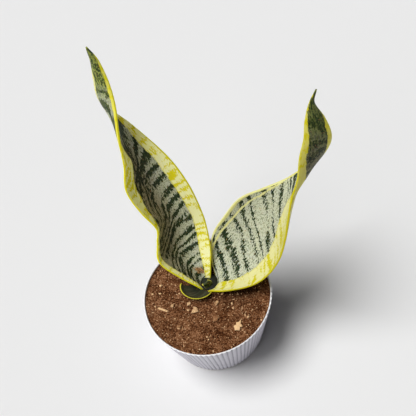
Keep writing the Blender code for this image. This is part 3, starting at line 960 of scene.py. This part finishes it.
# loose grains: count, least and most size in millimetres, seed; the sizes and tones are drawn in turn
crumbStyle = {
    "crumbs": (1500, 0.35, 1.3, 4),
    "chaff": (150, 0.6, 2.4, 9),
    "edgeGap": 1.2,
    "sizeCurve": 3.5,
    "ragged": 0.35,
    "stretch": (0.55, 1.2),
    "flatness": (1, 1, 0.7),
    "rise": 0.15,
    "tones": (0.4, 1.0),
}


def makeCrumbs(name, material, kind, edge):
    style = crumbStyle
    count, small, large, seed = style[kind]
    rng = np.random.default_rng(seed)
    form = bmesh.new()
    bmesh.ops.create_icosphere(form, subdivisions=1, radius=1)
    corners = np.array([v.co for v in form.verts])
    sides = [[v.index for v in f.verts] for f in form.faces]
    form.free()
    points, faces, data = [], [], []
    for _ in range(count):
        radius = (edge - style["edgeGap"]) * math.sqrt(rng.random())
        turn = rng.random() * 2 * math.pi
        x, y = radius * math.cos(turn), radius * math.sin(turn)
        size = (small + (large - small) * rng.random() ** style["sizeCurve"]) / style["stretch"][1]
        shape = corners * (1 + style["ragged"] * rng.standard_normal((len(corners), 1)).clip(-1.2, 1.2))
        shape = shape * size * rng.uniform(*style["stretch"], 3) * style["flatness"]
        spin = Matrix.Rotation(rng.random() * 6.28, 3, Vector(rng.standard_normal(3)))
        shape = shape @ np.array(spin)
        centre = (x, y, soilLevel(x, y) + size * style["rise"])
        faces.extend([[len(points) + corner for corner in side] for side in sides])
        points.extend((shape + centre).tolist())
        data.extend([(x, y, rng.uniform(*style["tones"]))] * len(corners))
    piece = newPiece(name, fromCrown(points), faces, material, [])
    addVectors(piece, "chipPlace", data)


soilMaterial = makeSoilMaterial()
soilEdge = makeSoil(soilMaterial)
makeCrumbs("soilCrumbs", soilMaterial, "crumbs", soilEdge)
print("soil made")

chipStyle = {
    "thickness": 1.2,
    "rise": 0.35,
    "steps": 5,  # points along each side of an outline
    "jag": 0.35,
    "bulge": 0.22,
    # share of the outline and share of the thickness, from the underside to the middle of the top
    "layers": ((0.86, 0.0), (1.0, 0.3), (1.0, 0.7), (0.88, 1.0), (0.55, 1.05), (0.2, 1.0)),
    "grain": (1.3, 0.35, 7, 3.0, 0.65),  # across, along and through a chip, detail, roughness
    "toneAmount": 0.8,
    "grainAmount": 2.2,
    "tan": (0.84, 0.55, 0.29),
    "brown": (0.25, 0.11, 0.045),
    # each chip: place in shares of the soil's radius, turn in degrees, tone, outline in millimetres
    "chips": (
        (0.355, -0.65, 8, 1.0, ((-4.6, -3.2), (-0.4, -4.8), (0.8, -2.2), (3.4, -2.4), (2.6, 0.6),
                                (4.6, 4.8), (1.4, 3.0), (-0.6, 4.0), (-1.4, 1.6), (-4.0, 1.4))),
        (-0.74, -0.04, -34, 0.9, ((-5.2, -0.8), (5.0, -1.2), (5.4, 0.6), (-4.6, 1.2))),
        (-0.26, -0.20, 12, 0.7, ((-3.8, -1.6), (-1.2, -2.6), (3.4, -3.4), (3.6, 0.4), (2.2, 3.2),
                                 (-0.8, 1.2))),
        (-0.32, -0.06, 25, 0.7, ((-2.2, -1.2), (1.8, -1.6), (2.4, 0.8), (-0.6, 1.8))),
        (0.04, -0.44, -10, 0.2, ((-2.6, -3.0), (1.4, -2.4), (3.0, 0.8), (0.8, 2.8), (-2.4, 1.6))),
        (0.11, -0.18, 40, 0.4, ((-2.4, -1.4), (2.2, -1.8), (2.6, 1.0), (-1.2, 2.0))),
        (-0.58, -0.02, 70, 0.5, ((-1.8, -1.2), (2.0, -1.4), (1.6, 1.2), (-1.4, 1.6))),
        (-0.55, -0.40, -20, 0.2, ((-2.0, -1.6), (1.8, -1.2), (2.0, 1.4), (-1.6, 1.8))),
    ),
}


def makeChipMaterial():
    look = chipStyle
    material, start, shader = newMaterial("barkChip", Roughness=0.9, Specular_IOR_Level=0.2)
    place = carried(start, "chipPlace")
    tone = place.parts()[2]
    grain = place.noise(*look["grain"])
    level = tone * look["toneAmount"] + (grain - 0.5) * look["grainAmount"]
    colour = level.step(0.0, 0.9).mix(look["brown"], look["tan"])
    connect(material, colour, shader, "Base Color")
    connect(material, 0.8 + grain * 0.2, shader, "Roughness")
    connect(material, bumped(start, grain, 0.8, 0.0006), shader, "Normal")
    return material


# a chip's outline with points along each side, ragged in its own way
def chipOutline(outline, number):
    style, rim = chipStyle, []
    for (ax, ay), (bx, by) in zip(outline, (*outline[1:], outline[0])):
        for step in np.linspace(0, 1, style["steps"] + 1)[:-1]:
            x, y = ax + (bx - ax) * step, ay + (by - ay) * step
            jag = style["jag"] * roughness(x * 1.7 + number * 9, y * 1.7, 5)
            rim.append((x * (1 + jag * 0.3) + jag * 0.5, y * (1 + jag * 0.3)))
    return np.array(rim)


def makeChips(material, edge):
    style = chipStyle
    points, faces, data = [], [], []
    for number, (across, back, turn, tone, outline) in enumerate(style["chips"], 1):
        rim = chipOutline(outline, number)
        cosine, sine = math.cos(math.radians(turn)), math.sin(math.radians(turn))
        centreX, centreY = across * edge, back * edge
        base = soilLevel(centreX, centreY) + style["rise"]
        start, count, layers = len(points), len(rim), style["layers"]
        for size, rise in layers:
            for x, y in rim * size:
                lift = style["bulge"] * roughness(x * 0.9 + number * 7, y * 0.9, 6) * (rise > 0.5)
                high = base + rise * style["thickness"] + lift
                points.append((centreX + x * cosine - y * sine, centreY + x * sine + y * cosine, high))
                data.append((x, y, tone))
        faces += wallFaces(len(layers), count, start)
        faces += [lidFace(start, count, True), lidFace(start + (len(layers) - 1) * count, count)]
    nodes = ["bark_chip_%d" % (n + 1) for n in range(len(style["chips"]))]
    piece = newPiece("barkChips", fromCrown(points), faces, material, nodes)
    addVectors(piece, "chipPlace", data)


chipMaterial = makeChipMaterial()
makeChips(chipMaterial, soilEdge)
makeCrumbs("chaff", chipMaterial, "chaff", soilEdge)
print("chips made")

stageStyle = {
    "floorSize": 30.0,
    "floor": (0.785, 0.785, 0.785),
    "floorSpeck": (0.79, 0.79, 0.79),
    "floorNoise": (30, 30, 30),
    # each light, in degrees: where it travels to, from +X, how steeply it falls and how wide it is
    "keyHeading": -10.0,
    "keyFall": 69.0,
    "keySpread": 34.0,
    "keyPower": 3.15,
    "fillHeading": 32.0,
    "fillFall": 28.0,
    "fillSpread": 50.0,
    "fillPower": 0.58,
    # the surround's grey, by height of the direction it is seen in
    "surround": ((0.0, 0.78), (0.1, 0.45), (0.2, 0.32), (0.3, 0.0)),
}
cameraStyle = {
    "sensor": 36.0,
    "lens": 72.0,
    "elevation": 56.7,
    "roll": -15.19,
    "distance": 0.765,  # metres from the middle of the pot's rim
    "pan": (-0.0009, -0.0799),  # metres that the rim stands off the middle of the view
}


def makeStage():
    look = stageStyle
    material, start, shader = newMaterial("paleFloor", Roughness=0.9, Specular_IOR_Level=0.1)
    colour = position(start).noise(*look["floorNoise"]).mix(look["floorSpeck"], look["floor"])
    connect(material, colour, shader, "Base Color")
    half = look["floorSize"] / 2
    mesh = bpy.data.meshes.new("floor")
    corners = [(-half, -half, 0), (half, -half, 0), (half, half, 0), (-half, half, 0)]
    mesh.from_pydata(corners, [], [(0, 1, 2, 3)])
    mesh.materials.append(material)
    floor = bpy.data.objects.new("floor", mesh)
    bpy.context.scene.collection.objects.link(floor)


def makeLight(name):
    look = stageStyle
    heading, fall = math.radians(look[name + "Heading"]), math.radians(look[name + "Fall"])
    travel = Vector((math.cos(heading) * math.cos(fall), math.sin(heading) * math.cos(fall), -math.sin(fall)))
    light = bpy.data.lights.new(name + "Light", "SUN")
    light.angle = math.radians(look[name + "Spread"])
    light.energy = look[name + "Power"]
    lamp = bpy.data.objects.new(name + "Light", light)
    lamp.rotation_euler = travel.to_track_quat("-Z", "Y").to_euler()
    bpy.context.scene.collection.objects.link(lamp)


def makeWorld():
    world = bpy.data.worlds.new("studio")
    world.use_nodes = True
    backdrop = world.node_tree.nodes["Background"]
    rise = Wire(world.node_tree).node("ShaderNodeTexCoord", None, None, "Generated").parts()[2]
    stops = [(height, (grey, grey, grey)) for height, grey in stageStyle["surround"]]
    grey = rise.node("ShaderNodeValToRGB", {"stops": stops}, {0: rise}, "Color")
    world.node_tree.links.new(grey.socket, backdrop.inputs["Color"])
    bpy.context.scene.world = world
    bpy.context.scene.view_settings.view_transform = "Standard"


def makeCamera():
    style = cameraStyle
    rise, roll = math.radians(style["elevation"]), math.radians(style["roll"])
    ahead = Vector((0, math.cos(rise), -math.sin(rise)))
    up, right = Vector((0, math.sin(rise), math.cos(rise))), Vector((1, 0, 0))
    side = right * math.cos(roll) + up * math.sin(roll)
    top = up * math.cos(roll) - right * math.sin(roll)
    panX, panY = style["pan"]
    place = Vector((0, 0, rimHeight)) - ahead * style["distance"] - side * panX - top * panY
    camera = bpy.data.cameras.new("camera")
    camera.sensor_width = style["sensor"]
    camera.lens = style["lens"]
    holder = bpy.data.objects.new("camera", camera)
    turn = Matrix((side, top, -ahead)).transposed().to_4x4()
    holder.matrix_world = Matrix.Translation(place) @ turn
    bpy.context.scene.collection.objects.link(holder)
    bpy.context.scene.camera = holder


makeStage()
makeLight("key")
makeLight("fill")
makeWorld()
makeCamera()
print("stage made")
